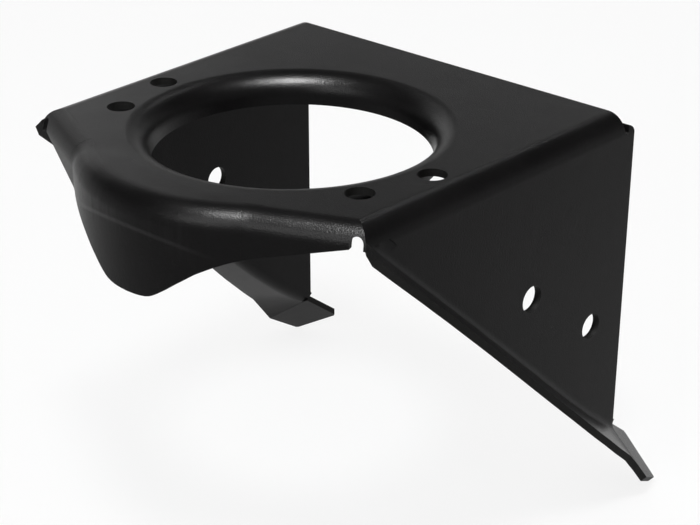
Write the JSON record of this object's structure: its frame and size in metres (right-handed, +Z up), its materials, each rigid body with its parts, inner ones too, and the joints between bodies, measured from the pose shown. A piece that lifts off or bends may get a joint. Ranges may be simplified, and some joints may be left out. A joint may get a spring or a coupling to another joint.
{
  "type": "stamped sheet bracket",
  "caption": "Stamped sheet bracket with a rolled round opening, a drawn nose with a tongue, and two side plates with flared diagonal flanges.",
  "frame": {"origin": "midway between the rear pair of bolt holes in the top plate, on the plate's upper face", "axes": "+X to the bracket's right, +Y from the nose toward the open back, +Z up, square to the top plate; the part is symmetric about x = 0"},
  "size_m": [0.2194, 0.2004, 0.1656],
  "materials": {
    "bracket": "satin black coating"
  },
  "bodies": {
    "root": {"bracket": "bracket"}
  },
  "joints": []
}
